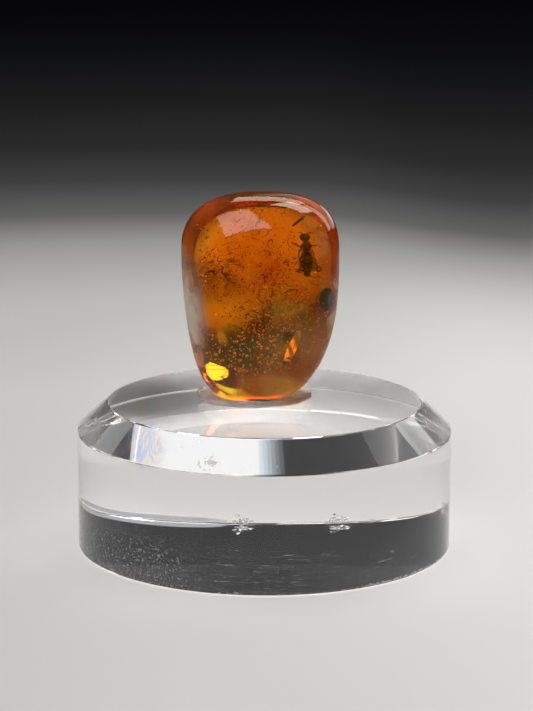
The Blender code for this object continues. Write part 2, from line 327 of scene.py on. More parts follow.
# yellow: the flow arcs, and painted light through the lower left foot
YELLOW_TINT = (1.0, 0.72, 0.03)
LINE_TINT = (0.12, 0.03, 0.002)
AMBER_SPOTS = {
    # middle in x and z and half sizes in mm, where the fade starts and ends, and its strongest share
    "deep": ((-0.6, 38.8), (5.2, 5.2), 1.0, 0.3),
    "honey left": ((-4.4, 31.0), (4.2, 4.4), 1.0, 0.5),
    "honey right": ((1.5, 32.5), (5.0, 3.0), 1.0, 0.4),
    "olive low": ((-1.4, 27.4), (7.5, 3.6), 1.0, 0.5),
    "olive right": ((3.4, 31.4), (4.6, 3.2), 1.0, 0.4),
    # painted light where light shines through the lower left foot
    "yellow foot": ((-7.6, 24.2), (3.6, 3.8), 1.0, 0.7),
    "arcs": ((0.6, 34.0), (6.0, 3.6), 1.0, 0.6),
    # painted shade: the right side darker
    "right shade": ((8.6, 38.5), (3.8, 8.5), 1.0, 0.3, 0.8),
    "within rim": ((-0.7, 34.0), (10.5, 14.0), 0.93, 0.75),
    "left side": ((-8.5, 41.0), (5.0, 8.0), 1.0, 0.5),
    "outside": ((-0.7, 34.0), (10.5, 14.0), 0.84, 0.96),
    # with the row above: painted shade along the top rim
    "top": ((-0.7, 50.0), (18.0, 11.5), 1.0, 0.7, 0.85),
    # painted shade where the sole sits in the putty
    "dark sole": ((2.6, 20.2), (6.8, 1.25), 1.0, 0.7),
    # painted light along the lower left of the sole
    "golden sole": ((-4.9, 21.5), (3.2, 1.8), 1.0, 0.6),
    "flake": ((7.75, 34.4), (1.35, 1.75), 1.0, 0.8, 0.8),
    "clear face": ((-0.7, 38.0), (9.0, 9.5), 1.0, 0.75),
    "clear foot": ((-6.6, 24.6), (3.4, 2.4), 1.0, 0.8),
}
SPECK_SIZES = ((1500, 0.2, 0.2), (900, 0.14, 0.2), (2700, 0.25, 0.14))


def amber_finish():
    finish = Finish("amber", {"Transmission Weight": 0.94, "IOR": AMBER_IOR, "Roughness": 0.0,
                              "Specular Tint": (1.0, 0.72, 0.42, 1.0)})
    finish.absorb(AMBER_COLOUR, AMBER_DENSITY)
    spot = finish.spots(AMBER_SPOTS)
    cloud = finish.noise(260, 3.0)
    swirls = finish.contours(230, 9, 0.16) * finish.between(finish.noise(190, 2.0), 0.48, 0.56)
    coarse, rare, fine = (finish.grains(*numbers) for numbers in SPECK_SIZES)
    tint = finish.layered(AMBER_TINT, (
        (spot["deep"] * finish.between(cloud, 0.3, 0.6), DEEP_TINT),
        ((spot["honey left"] + spot["honey right"]).capped() * finish.between(cloud, 0.7, 0.4), HONEY_TINT),
        ((spot["olive low"] + spot["olive right"]).capped(), OLIVE_TINT),
        # painted light through the lower left foot
        (spot["yellow foot"], YELLOW_TINT),
        (finish.contours(310, 7, 0.1) * spot["arcs"], YELLOW_TINT),
        # painted shade on the right side
        (spot["right shade"], (0.44, 0.135, 0.003)),
        ((1 - spot["within rim"]) * spot["left side"], (1.0, 0.55, 0.012)),
        # painted shade along the top rim
        (spot["outside"] * spot["top"], (0.36, 0.11, 0.003)),
        # painted shade where the sole sits in the putty
        (spot["dark sole"], (0.05, 0.012, 0.001)),
        # painted light along the lower left of the sole
        (spot["golden sole"], (1.0, 0.95, 0.03)),
        (spot["flake"], (0.2, 0.1, 0.02)),
        ((swirls + (coarse + rare + fine)).capped() * (spot["clear face"] + spot["clear foot"]), LINE_TINT),
    ))
    ripple = finish.noise(420, 3.0, 0.6, distortion=1.5)
    finish.set(Base_Color=tint, Normal=finish.bump(ripple, 0.25, 0.045 * MM))
    return finish.material


# %% [markdown]
# ## The pebble's shape
#
# A beach-worn or tumbled pebble has no flat and no corner. Its outline is two half superellipses that
# meet at the widest place, and the faces are drawn in from it with a power near 2.5: almost flat in the
# middle, turning tightly at the rim. One formula gives any point, so the cage can be as fine as needed.

# %% Pebble shape
PEBBLE_MIDDLE = Vector((-0.68, -3.3, 35.0)) * MM
PEBBLE_HALF_WIDTH = 10.4 * MM
PEBBLE_WIDEST_Z = 39.8 * MM
PEBBLE_TOP_Z = 48.05 * MM
PEBBLE_FOOT_Z = 20.05 * MM
PEBBLE_FRONT_BULGE = 5.6 * MM
PEBBLE_BACK_BULGE = 6.2 * MM
PEBBLE_FOOT_LEAN = -0.97 * MM
PEBBLE_TOP_LEAN = 0.39 * MM
OUTLINE_POWER = 2.57
FACE_POWER = 2.3
FACE_POWER_LEAN = 0.25
FACE_POWER_FOOT = 0.9
LEAN_POWER = 3.6
PEBBLE_SWELL = 0.03
PEBBLE_CUTS = 44
BACK_DENTS = (
    # x, z, radius and depth in mm
    (3.0, 28.6, 3.0, 0.75),
    (-5.2, 33.2, 2.8, 0.2),
)
FACETS = (
    # a point of the flat in mm, and the way it faces
    ((-9.2, -5.9, 34.0), (-0.9, -0.42, -0.12)),
)
FACET_SOFTNESS = 0.22 * MM


def pebble_point(direction):
    """The surface point in a direction from the middle: the outline's point, drawn in to the faces."""
    rim = math.hypot(direction.x, direction.z)
    side = signed_power(direction.x / rim, 2 / OUTLINE_POWER) if rim else 0.0
    rise = signed_power(direction.z / rim, 2 / OUTLINE_POWER) if rim else 0.0
    up, down = max(rise, 0.0), max(-rise, 0.0)
    lean = PEBBLE_TOP_LEAN * up ** 2 + PEBBLE_FOOT_LEAN * down ** LEAN_POWER
    outline_x = PEBBLE_MIDDLE.x + PEBBLE_HALF_WIDTH * side + lean
    outline_z = (PEBBLE_WIDEST_Z + up * (PEBBLE_TOP_Z - PEBBLE_WIDEST_Z)
                 - down * (PEBBLE_WIDEST_Z - PEBBLE_FOOT_Z))
    power = FACE_POWER + FACE_POWER_LEAN * direction.x
    if direction.y < 0:
        power += FACE_POWER_FOOT * max(-direction.z, 0.0)
    spread = rim ** (2 / power)
    x = PEBBLE_MIDDLE.x + spread * (outline_x - PEBBLE_MIDDLE.x)
    z = PEBBLE_MIDDLE.z + spread * (outline_z - PEBBLE_MIDDLE.z)
    swell = 1 + PEBBLE_SWELL * math.sin(3.1 * direction.x + 1.7 * direction.z + 0.8)
    bulge = (PEBBLE_FRONT_BULGE if direction.y < 0 else PEBBLE_BACK_BULGE) * swell
    y = PEBBLE_MIDDLE.y + bulge * signed_power(direction.y, 2 / power)
    for dent_x, dent_z, radius, depth in BACK_DENTS if direction.y > 0 else ():
        away = math.hypot(x / MM - dent_x, z / MM - dent_z) / radius
        y -= depth * MM * math.exp(-away ** 2) * direction.y ** 0.5
    point = Vector((x, y, z))
    for middle, facing in FACETS:
        normal = Vector(facing).normalized()
        above = (point - Vector(middle) * MM).dot(normal) / FACET_SOFTNESS
        point -= normal * FACET_SOFTNESS * math.log1p(math.exp(min(above, 50.0)))
    return point


def pebble_shell():
    bm = ball_cage(PEBBLE_CUTS)
    for vertex in bm.verts:
        vertex.co = pebble_point(vertex.co.normalized())
    bmesh.ops.recalc_face_normals(bm, faces=bm.faces)
    return bm


shell = pebble_shell()
pebble_tree = BVHTree.FromBMesh(shell)


def behind_face(x, z, depth):
    """The point a given depth behind the pebble's front face, or None beside the pebble."""
    hit = pebble_tree.ray_cast(Vector((x, -20 * MM, z)), Vector((0, 1, 0)))[0]
    return hit and hit + Vector((0, depth, 0))


def depth_inside(point):
    """How far a point lies under the pebble's skin."""
    surface, normal, _, _ = pebble_tree.find_nearest(point)
    return (surface - point).dot(normal)


def inside_outline(x, z, outline):
    """Whether a point lies within a closed outline, by counting the edges passed on the way out."""
    crossed = False
    for (x1, z1), (x2, z2) in zip(outline, outline[1:] + outline[:1]):
        if (z1 > z) != (z2 > z) and x < x1 + (z - z1) / (z2 - z1) * (x2 - x1):
            crossed = not crossed
    return crossed


def scatter(chance, count, outline, depths):
    """Random points within an outline (in mm) at random depths behind the front face."""
    xs, zs = [x for x, _ in outline], [z for _, z in outline]
    found = []
    while len(found) < count:
        x, z = chance.uniform(min(xs), max(xs)), chance.uniform(min(zs), max(zs))
        depth = chance.uniform(*depths)
        if inside_outline(x, z, outline):
            point = behind_face(x * MM, z * MM, depth * MM)
            if point and depth_inside(point) > 0.25 * MM:
                found.append(point)
    return found


# %% [markdown]
# ## Bubbles
#
# A bubble is a hollow in the amber, so it belongs to the amber's own mesh with its skin turned inwards:
# light then leaves the resin and enters it again by the same shader. Each starts as twenty triangles.

# %% Bubbles and the pebble
FROTH = [(-4.6, 28.6), (-3.2, 30.6), (-0.4, 33.2), (2.6, 34.4), (4.6, 36.0), (5.6, 33.0), (4.9, 29.5), (3.4, 26.6),
         (1.8, 24.6), (-3.0, 24.4), (-7.2, 26.6), (-7.6, 30.5)]
RIGHT_SIDE = [(4.6, 36.4), (8.6, 38.0), (8.4, 31.0), (6.6, 25.5), (3.0, 22.3), (0.0, 21.8), (1.2, 24.0), (3.6, 26.8),
              (5.2, 30.0)]
LEFT_CHAIN = [(-8.3, 44.2), (-7.3, 44.0), (-7.0, 36.5), (-8.0, 36.0)]
BUBBLE_GROUPS = (
    # outline, how many, radii in mm, depths behind the face in mm
    (FROTH, 150, (0.05, 0.13), (0.5, 4.5)),
    (FROTH, 16, (0.16, 0.26), (0.8, 2.5)),
    (RIGHT_SIDE, 60, (0.04, 0.10), (0.6, 3.5)),
    (LEFT_CHAIN, 26, (0.06, 0.16), (0.7, 2.0)),
)
LONE_BUBBLE = Vector((4.65, -7.2, 41.4)) * MM
LONE_BUBBLE_SIZE = Vector((1, 1, 1)) * 0.12 * MM
BIG_GRAINS = [(-4.6, 31.0), (-0.5, 31.5), (2.5, 29.0), (1.0, 25.5), (-4.2, 26.0)]


def make_pebble(bm):
    chance = random.Random(11)
    outside_faces = len(bm.faces)
    for outline, count, radii, depths in BUBBLE_GROUPS:
        for point in scatter(chance, count, outline, depths):
            radius = chance.uniform(*radii) * MM
            size = Vector((1.0, 1.0, chance.uniform(0.8, 1.25))) * radius
            blob(bm, point, size, random_turn(chance))
    blob(bm, LONE_BUBBLE, LONE_BUBBLE_SIZE, subdivisions=2)
    bmesh.ops.reverse_faces(bm, faces=list(bm.faces)[outside_faces:])
    return add_piece("amber_pebble", bm, amber_finish(), levels=1,
                     replaces=("amber_front", "amber_back"))


pebble = make_pebble(shell)

# %% [markdown]
# ## The insect
#
# The fly hangs head up near the front face. Its parts are small balls and tapering bars, placed in mm
# from the middle of the insect: x across, y away from the face, z towards the head. Behind the waist each
# body ring is a step in radius, so the abdomen catches light as bands.

# %% Insect
INSECT_MIDDLE = Vector((5.0, -5.4, 40.3)) * MM
INSECT_BALLS = (
    # middle, half sizes
    ((-0.05, 0.0, 2.0), (0.64, 0.46, 0.52)),
    ((0.0, 0.0, 1.5), (0.24, 0.24, 0.3)),
    ((0.12, 0.02, 0.9), (0.64, 0.52, 0.7)),
    ((0.12, 0.2, 0.45), (0.36, 0.36, 0.34)),
    ((0.12, 0.05, 0.2), (0.26, 0.26, 0.38)),
)
EYES = (((0.37, -0.2, 2.1), (0.26, 0.29, 0.31)), ((-0.47, -0.2, 2.1), (0.26, 0.29, 0.31)))
ABDOMEN_TOP = Vector((0.12, 0.05, 0.15))
ABDOMEN_END = Vector((0.1, 0.1, -2.8))
ABDOMEN_RINGS = 6
LIMBS = (
    ((0.3, -0.2, 1.15), (0.95, -0.3, 1.05), (1.7, -0.25, 1.2)),
    ((-0.1, -0.2, 1.2), (-0.6, -0.45, 1.1), (-0.55, -0.55, 0.55)),
    ((0.35, -0.25, 0.8), (0.9, -0.5, 0.5), (1.0, -0.4, -0.3), (1.35, -0.35, -0.75)),
    ((-0.1, -0.3, 0.8), (-0.75, -0.5, 0.45), (-0.85, -0.5, -0.35), (-0.7, -0.5, -0.9)),
    ((0.35, -0.2, 0.5), (0.75, -0.55, -0.3), (0.6, -0.6, -1.3), (0.95, -0.45, -2.0)),
    ((-0.05, -0.2, 0.5), (-0.7, -0.45, -0.5), (-0.6, -0.5, -1.5), (-0.85, -0.4, -2.3)),
    ((0.15, -0.2, 2.3), (0.45, -0.45, 2.7), (0.85, -0.5, 2.8)),
    ((-0.2, -0.2, 2.3), (-0.5, -0.45, 2.7), (-0.9, -0.5, 2.7)),
)
WINGS = (((0.72, 0.12, -0.85), 17.0), ((-0.3, 0.42, -0.85), -9.0))
WING_HALF_WIDTH = 0.46
WING_HALF_LENGTH = 1.55


def chitin_finish():
    finish = Finish("insect_chitin", {"Roughness": 0.35, "Coat Weight": 0.4, "Coat Roughness": 0.2})
    finish.set(Base_Color=finish.ramp(finish.noise(2500, 4.0), [(0.35, (0.03, 0.015, 0.005)),
                                                                (0.7, (0.11, 0.06, 0.015))]))
    return finish.material


def wing_finish():
    finish = Finish("insect_wing", {"Roughness": 0.25, "Coat Weight": 0.5})
    vein = finish.node("ShaderNodeTexVoronoi", {"feature": 'DISTANCE_TO_EDGE'},
                       {"Vector": finish.place(), "Scale": 2600.0}, output="Distance")
    line = vein.math('LESS_THAN', 0.06)
    finish.set(Base_Color=finish.mix(line, (0.30, 0.25, 0.03), (0.05, 0.03, 0.01)), Alpha=line * 0.45 + 0.5)
    return finish.material


def insect_point(place):
    return INSECT_MIDDLE + Vector(place) * MM


def make_insect():
    bm = bmesh.new()
    for middle, half_size in INSECT_BALLS + EYES:
        blob(bm, insect_point(middle), Vector(half_size) * MM, subdivisions=3)
    for ring in range(ABDOMEN_RINGS):
        share = (ring + 0.5) / ABDOMEN_RINGS
        girth = 0.3 + 0.47 * math.sin(math.pi * share ** 0.8)
        middle = ABDOMEN_TOP.lerp(ABDOMEN_END, share)
        blob(bm, insect_point(middle), Vector((girth, 0.8 * girth, 0.36)) * MM, subdivisions=3)
    for points in LIMBS:
        knees = [insect_point(point) for point in points]
        bend = [knees[0]]
        for first, second in zip(knees, knees[1:]):
            bend += [first.lerp(second, 0.5), second]
        radii = [(0.1 - 0.06 * index / (len(bend) - 1)) * (1.15 if index % 2 else 0.85) * MM
                 for index in range(len(bend))]
        tube(bm, bend, radii)
    return add_piece("insect_body", bm, chitin_finish(), replaces=("insect",))


def make_wing(number, middle, slope):
    """A flat blade, narrow at its root and round at its tip, slightly dished."""
    bm = bmesh.new()
    bmesh.ops.create_grid(bm, x_segments=10, y_segments=24, size=1.0)
    for vertex in bm.verts:
        along, across = vertex.co.y, vertex.co.x
        width = WING_HALF_WIDTH * math.sqrt(max(1 - along ** 2, 0.0)) * (1.05 - 0.45 * along)
        vertex.co = Vector((across * width, 0.08 * across ** 2 + 0.06 * along ** 2, along * WING_HALF_LENGTH)) * MM
    bmesh.ops.remove_doubles(bm, verts=bm.verts, dist=0.002 * MM)
    bmesh.ops.recalc_face_normals(bm, faces=bm.faces)
    turn = Matrix.Translation(insect_point(middle)) @ Matrix.Rotation(math.radians(-slope), 4, 'Y')
    bmesh.ops.transform(bm, matrix=turn, verts=bm.verts)
    return add_piece(f"insect_wing_{number}", bm, wing_finish())


make_insect()
for number, (middle, slope) in enumerate(WINGS, start=1):
    make_wing(number, middle, slope)

# %% [markdown]
# ## The splinter, the flake and the specks
#
# A splinter of plant hair above the insect and a dark oval flake at the right edge are the two larger
# inclusions. The rest is dust: dark specks and short hairs in the bright upper half.

# %% Inclusions
SPLINTER_MIDDLE = Vector((4.2, -5.6, 44.4)) * MM
SPLINTER_LENGTH = 2.1 * MM
SPLINTER_SLOPE = math.radians(39)
SPLINTER_STATIONS = (
    # share of the half length, radius in mm and bend in mm
    (-1.0, 0.07, 0.0), (-0.8, 0.15, 0.03), (-0.45, 0.21, -0.02), (-0.1, 0.16, 0.03),
    (0.3, 0.17, 0.02), (0.6, 0.23, -0.03), (0.85, 0.16, 0.0), (1.0, 0.06, 0.03),
)
FLAKE_MIDDLE = Vector((7.7, -5.9, 34.45)) * MM
FLAKE_HALF_SIZE = Vector((1.1, 0.3, 1.5)) * MM
FLAKE_TURN = math.radians(40)
UPPER_FACE = [(-5.5, 42.5), (-4.0, 45.0), (2.5, 46.0), (4.0, 42.0), (3.6, 37.0), (1.5, 35.0), (-3.0, 33.5),
              (-6.0, 36.0)]
SPECKS = 110
LARGE_SPECKS = (
    # x, z and depth behind the face, and half sizes, all in mm
    ((3.1, 27.0, 0.3), (0.3, 0.12, 0.14)),
    ((2.6, 26.5, 0.4), (0.16, 0.1, 0.22)),
)
RING_MIDDLE = (6.75, -6.6, 38.55)
RING_RADIUS = 0.3
RING_STEPS = 14


def dark_finish(name, low, high, roughness=0.5):
    finish = Finish(name, {"Roughness": roughness})
    finish.set(Base_Color=finish.mix(finish.noise(1800, 3.0), low, high))
    return finish.material


def make_splinter():
    bm = bmesh.new()
    along = Vector((math.cos(SPLINTER_SLOPE), 0, math.sin(SPLINTER_SLOPE))) * SPLINTER_LENGTH / 2
    points = [SPLINTER_MIDDLE + share * along + Vector((0, 0, bend)) * MM for share, _, bend in SPLINTER_STATIONS]
    tube(bm, points, [radius * MM for _, radius, _ in SPLINTER_STATIONS], sides=8)
    material = dark_finish("dark_wood", (0.05, 0.03, 0.006), (0.16, 0.12, 0.02))
    return add_piece("plant_splinter", bm, material, levels=1, replaces=("splinter",))


def make_flake():
    bm = bmesh.new()
    turn = Matrix.Rotation(FLAKE_TURN, 4, 'Z')
    blob(bm, FLAKE_MIDDLE, FLAKE_HALF_SIZE, turn, subdivisions=4)
    for vertex in bm.verts:
        offset = vertex.co - FLAKE_MIDDLE
        vertex.co += offset * 0.05 * math.sin(9 * math.atan2(offset.z, offset.x)) * math.sin(700 * offset.z)
    material = dark_finish("charred_flake", (0.006, 0.006, 0.006), (0.03, 0.033, 0.03))
    return add_piece("dark_flake_piece", bm, material, replaces=("dark_flake",))


def make_specks():
    """Dust and short hairs, two larger crumbs low down, and a ringed speck beside the insect."""
    chance = random.Random(5)
    bm = bmesh.new()
    for point in scatter(chance, SPECKS, UPPER_FACE, (0.4, 4.0)):
        radius = chance.uniform(0.03, 0.085) * MM
        size = Vector((radius, radius, radius * chance.uniform(0.8, 2.2)))
        blob(bm, point, size, random_turn(chance))
    for (x, z, depth), half_size in LARGE_SPECKS:
        blob(bm, behind_face(x * MM, z * MM, depth * MM), Vector(half_size) * MM, subdivisions=2)
    x, y, z = RING_MIDDLE
    ring = [Vector((x + RING_RADIUS * math.cos(turn), y, z + RING_RADIUS * math.sin(turn))) * MM
            for turn in (2 * math.pi * step / RING_STEPS for step in range(RING_STEPS + 1))]
    tube(bm, ring, [0.1 * MM] * len(ring), sides=6)
    return add_piece("dark_specks", bm, dark_finish("dark_dust", (0.03, 0.015, 0.004), (0.12, 0.06, 0.015)))


make_splinter()
make_flake()
make_specks()

# %% [markdown]
# ## Golden froth
#
# Bubbles and broken threads too small to draw as hollows show in real amber as pale golden grains. They
# are solid here: metal-bright balls and curls, gathered where the larger bubbles are.

# %% Golden froth
CRINKLES = [(-3.5, 30.5), (-1.5, 33.5), (3.0, 36.0), (5.5, 36.0), (5.2, 31.0), (3.0, 30.0)]
GRAIN_GROUPS = ((FROTH, 300, 0.14), (RIGHT_SIDE, 130, 0.09), (LEFT_CHAIN, 60, 0.12))    # the last is in mm
WING_EDGE = ((5.75, -6.25, 41.1), (6.0, -6.25, 40.1), (6.35, -6.2, 38.9))
WING_EDGE_RADII = (0.04 * MM, 0.08 * MM, 0.05 * MM)
CURL_GIRTH = (0.4, 0.9, 1.0, 0.9, 0.4)


def curl(chance, bm, point, length, radius):
    """A short bent thread, its ends drawn out thin."""
    turn, bend = chance.uniform(0, 6.28), chance.uniform(-1.5, 1.5)
    points = []
    for step in range(len(CURL_GIRTH)):
        share = step / 4 - 0.5
        angle = turn + bend * share
        way = Vector((math.cos(angle), chance.uniform(-0.1, 0.1), math.sin(angle)))
        points.append(point + way * length * share * MM)
    tube(bm, points, [radius * MM * share for share in CURL_GIRTH], sides=4)


def golden_finish():
    finish = Finish("golden_froth", {"Roughness": 0.35, "Metallic": 1.0})
    finish.set(Base_Color=finish.mix(finish.noise(900), (1.0, 0.92, 0.45), (1.0, 0.97, 0.7)))
    return finish.material


def make_froth():
    chance = random.Random(23)
    bm = bmesh.new()
    for outline, count, largest in GRAIN_GROUPS:
        for point in scatter(chance, count, outline, (0.3, 2.2)):
            radius = (0.05 + largest * chance.random() ** 3) * MM
            blob(bm, point, Vector((radius, radius, radius * chance.uniform(0.7, 1.6))), random_turn(chance))
    for point in scatter(chance, 16, BIG_GRAINS, (0.5, 1.5)):
        blob(bm, point, Vector((0.17, 0.17, 0.13)) * chance.uniform(0.8, 1.3) * MM, subdivisions=2)
    for point in scatter(chance, 90, CRINKLES, (0.5, 2.0)):
        curl(chance, bm, point, chance.uniform(0.15, 0.55), 0.045)
    tube(bm, [Vector(place) * MM for place in WING_EDGE], WING_EDGE_RADII, sides=4)
    return add_piece("golden_grains", bm, golden_finish())


make_froth()

# %% [markdown]
# ## The weathered skin and its painted light
#
# Handling and air leave the resin's outside a little cloudy, more so where the surface turns away. A film
# just outside the pebble carries that haze in its alpha, with fine golden grains whose weak painted glow
# stands for light scattered by bubbles too small to draw. The film also carries painted light: pale bands
# over the haze on the left and right rims stand for their reflections, an orange painted gleam lies on the
# face, and a grey-green painted light edge lies beside the flake. Where the resin is clear, the film is bare.

# %% Weathered skin and painted light
SKIN_SCALE = 1.0015
# strength of the painted glow in the skin's golden grains
SKIN_GLOW = 0.25
SKIN_SPOTS = {
    # as for the amber
    "edge": ((-0.7, 34.5), (10.4, 14.5), 0.72, 1.02, 0.08),
    # left and right: haze under a pale painted reflection
    "left": ((-10.5, 30.6), (4.0, 11.0), 1.0, 0.2, 0.94),
    "right": ((9.6, 33.4), (2.2, 6.0), 1.0, 0.4, 0.52),
    "foot": ((5.6, 26.0), (8.6, 10.5), 1.0, 0.35, 0.34),
    "sole": ((-0.2, 22.8), (6.8, 2.6), 1.0, 0.5, 0.42),
    # gleam: a painted orange gleam on the face
    "gleam": ((3.0, 33.6), (3.6, 1.9), 1.0, 0.3, 0.3),
    # flake side: a grey-green painted light edge beside the flake
    "flake side": ((8.75, 34.2), (0.75, 1.9), 1.0, 0.4, 0.5),
    "bare foot": ((-7.6, 23.6), (4.6, 5.0), 1.0, 0.8),
    "bare flake": ((7.6, 34.4), (2.2, 2.6), 1.0, 0.7),
    "bare sheet": ((3.3, 28.4), (1.5, 2.6), 1.0, 0.7),
    "froth left": ((-4.0, 27.2), (4.6, 3.8), 1.0, 0.6),
    "froth right": ((1.8, 30.6), (5.2, 5.4), 1.0, 0.6),
    "froth edge": ((-7.6, 39.8), (1.3, 5.2), 1.0, 0.5),
    "froth foot": ((1.0, 24.0), (6.0, 3.0), 1.0, 0.5, 0.5),
    "chain": ((-7.75, 39.8), (0.8, 5.4), 1.0, 0.6),
}


def skin_finish():
    """Orange-brown and mottled, thin over the faces, thicker where they turn away, with pale painted reflections, a
    painted gleam, a painted light edge and a painted glow.
    """
    finish = Finish("amber_skin", {"Roughness": 0.6, "Specular IOR Level": 0.0, "Emission Strength": SKIN_GLOW})
    spot = finish.spots(SKIN_SPOTS)
    worn = finish.between(finish.noise(260, 4.0, 0.6), 0.3, 0.55, 0.5) + 0.55
    # left and right: haze with a pale painted reflection, made patchy by this noise
    left, right = spot["left"] * worn, spot["right"] * worn
    mottle = finish.between(finish.noise(900, 5.0, 0.65), 0.5, 0.8, 0.1)
    bare = (spot["bare foot"] + spot["bare flake"] + spot["bare sheet"]).capped()
    haze = spot["edge"] + spot["foot"] + left + right + spot["sole"] + spot["gleam"] + mottle
    haze = haze * (1 - bare) + spot["flake side"]
    froth = spot["froth left"] + spot["froth right"] + spot["froth edge"] + spot["froth foot"]
    grain = (finish.grains(2100, 0.2, 0.24) + finish.grains(3400, 0.25, 0.16)) * froth
    chain = finish.grains(2300, 0.26, 0.45) * spot["chain"]
    grain = (grain + chain + finish.grains(1250, 0.14, 0.08)).capped(0.95)
    haze_and_sheen = finish.ramp(finish.noise(300, 3.0), [(0.35, (0.62, 0.24, 0.06)), (0.65, (0.85, 0.45, 0.18))])
    haze_and_sheen = finish.layered(haze_and_sheen, (
        # pale painted reflections on the left and right rims
        ((left * 1.6 + right * 1.4).capped(), (0.95, 0.82, 0.62)),
        # a painted orange gleam on the face, and the same orange over the sole's haze
        ((spot["gleam"] * 3 + spot["sole"]).capped(), (0.95, 0.46, 0.03)),
        # a grey-green painted light edge beside the flake
        (spot["flake side"] * 2, (0.3, 0.36, 0.3)),
    ))
    # the grains glow weakly: painted light for light scattered by small bubbles
    finish.set(Base_Color=finish.mix(grain, haze_and_sheen, (1.0, 0.62, 0.03)), Alpha=haze.math('MAXIMUM', grain),
               Emission_Color=finish.mix(grain, (0.0, 0.0, 0.0), (1.0, 0.55, 0.04)))
    return finish.material


def make_skin():
    bm = pebble_shell()
    for vertex in bm.verts:
        vertex.co = PEBBLE_MIDDLE + (vertex.co - PEBBLE_MIDDLE) * SKIN_SCALE
    return add_piece("amber_skin", bm, skin_finish(), levels=1)


make_skin()

# %% [markdown]
# ## The bright sheet
#
# Low in the front a pressed-flat bubble shines like metal: it lies at just the slope that mirrors a light
# overhead to the viewer. It is a small crinkled sheet, and `bar_light` below is the light it mirrors. Like
# every sheet here it is a grid cut to an outline, so `add_sheet` is told where each corner goes.

# %% Bright sheet
BRIGHT_OUTLINE = [(2.2, 26.6), (3.0, 26.2), (3.9, 27.4), (4.6, 29.3), (4.6, 30.5), (3.8, 30.4), (3.1, 28.9)]
BRIGHT_Y = -7.1
BRIGHT_MIDDLE_Z = 28.5
BRIGHT_RISE = 0.5
BRIGHT_WAVE = 0.03
BRIGHT_STEP = 0.12


def add_sheet(bm, outline, step, place, least_depth):
    """Fill an outline (in mm) with squares whose corners `place` puts somewhere, if well inside the resin."""
    xs, zs = [x for x, _ in outline], [z for _, z in outline]
    grid = {}
    for column in range(int((max(xs) - min(xs)) / step) + 2):
        for row in range(int((max(zs) - min(zs)) / step) + 2):
            x, z = min(xs) + column * step, min(zs) + row * step
            point = place(x, z) if inside_outline(x, z, outline) else None
            if point and depth_inside(point) > least_depth * MM:
                grid[column, row] = bm.verts.new(point)
    for column, row in grid:
        corners = [grid.get(key) for key in ((column, row), (column + 1, row), (column + 1, row + 1),
                                             (column, row + 1))]
        if all(corners):
            bm.faces.new(corners)


def bright_point(x, z):
    y = BRIGHT_Y + BRIGHT_RISE * (z - BRIGHT_MIDDLE_Z) + BRIGHT_WAVE * math.sin(5 * x + 2 * z)
    return Vector((x, y, z)) * MM


def make_bright_sheet():
    finish = Finish("bright_bar", {"Metallic": 1.0, "Roughness": 0.3})
    finish.set(Base_Color=(1.0, 0.95, 0.3, 1.0), Normal=finish.bump(finish.noise(1200, 3.0), 0.7, 0.15 * MM))
    bm = bmesh.new()
    add_sheet(bm, BRIGHT_OUTLINE, BRIGHT_STEP, bright_point, 0.2)
    return add_piece("bright_bar", bm, finish.material, levels=1)


make_bright_sheet()

# %% [markdown]
# ## Veils and flow lines
#
# Resin runs down a trunk in layers. Where one layer met the next there is a faint skin, seen as a veil: a
# thin sheet whose alpha fades at its rim. Round the upper middle the layers left fine curved lines.

# %% Veils and flow lines
VEILS = (
    # name, outline and depth in mm, middle and half sizes of the fade, colour, strongest alpha
    ("left_haze", [(-10.6, 42.0), (-7.0, 44.5), (-7.3, 30.0), (-6.0, 25.0), (-9.0, 25.5), (-10.8, 33.0)], 1.3,
     (-9.0, 35.0), (3.4, 11.5), (0.9, 0.5, 0.12), 0.3),
    ("right_haze", [(4.8, 36.5), (9.2, 38.0), (9.6, 28.0), (6.5, 22.0), (-4.0, 20.9), (-3.0, 24.0), (1.6, 24.5),
                    (5.0, 30.0)], 2.4, (6.0, 28.0), (6.5, 9.5), (0.9, 0.55, 0.15), 0.4),
)
VEIL_STEP = 0.3
FLOW_LINES = 34
FLOW_MIDDLE_X, FLOW_MIDDLE_Z = -1.8, 40.0
FLOW_RADIUS = 0.02 * MM
FLOW_GIRTH = (0.3, 0.8, 1.0, 1.0, 1.1, 1.0, 0.7, 0.3)


def make_veil(name, outline, depth, middle, half_size, colour, alpha):
    """A sheet that follows the front face a given depth behind it, fading out towards its rim."""
    finish = Finish(name, {"Roughness": 0.6, "Specular IOR Level": 0.1})
    cloud = finish.node("ShaderNodeMapRange", {}, {0: finish.noise(420, 4.0), 1: 0.3, 2: 0.7, 3: 0.6, 4: 1.1})
    finish.set(Base_Color=(*colour, 1.0), Alpha=finish.near(middle, half_size, 1.0, 0.45) * cloud * alpha)

    def veil_point(x, z):
        return behind_face(x * MM, z * MM, (depth + 0.25 * math.sin(1.1 * x + 0.7 * z)) * MM)

    bm = bmesh.new()
    add_sheet(bm, outline, VEIL_STEP, veil_point, 0.3)
    return add_piece(name, bm, finish.material, levels=1)


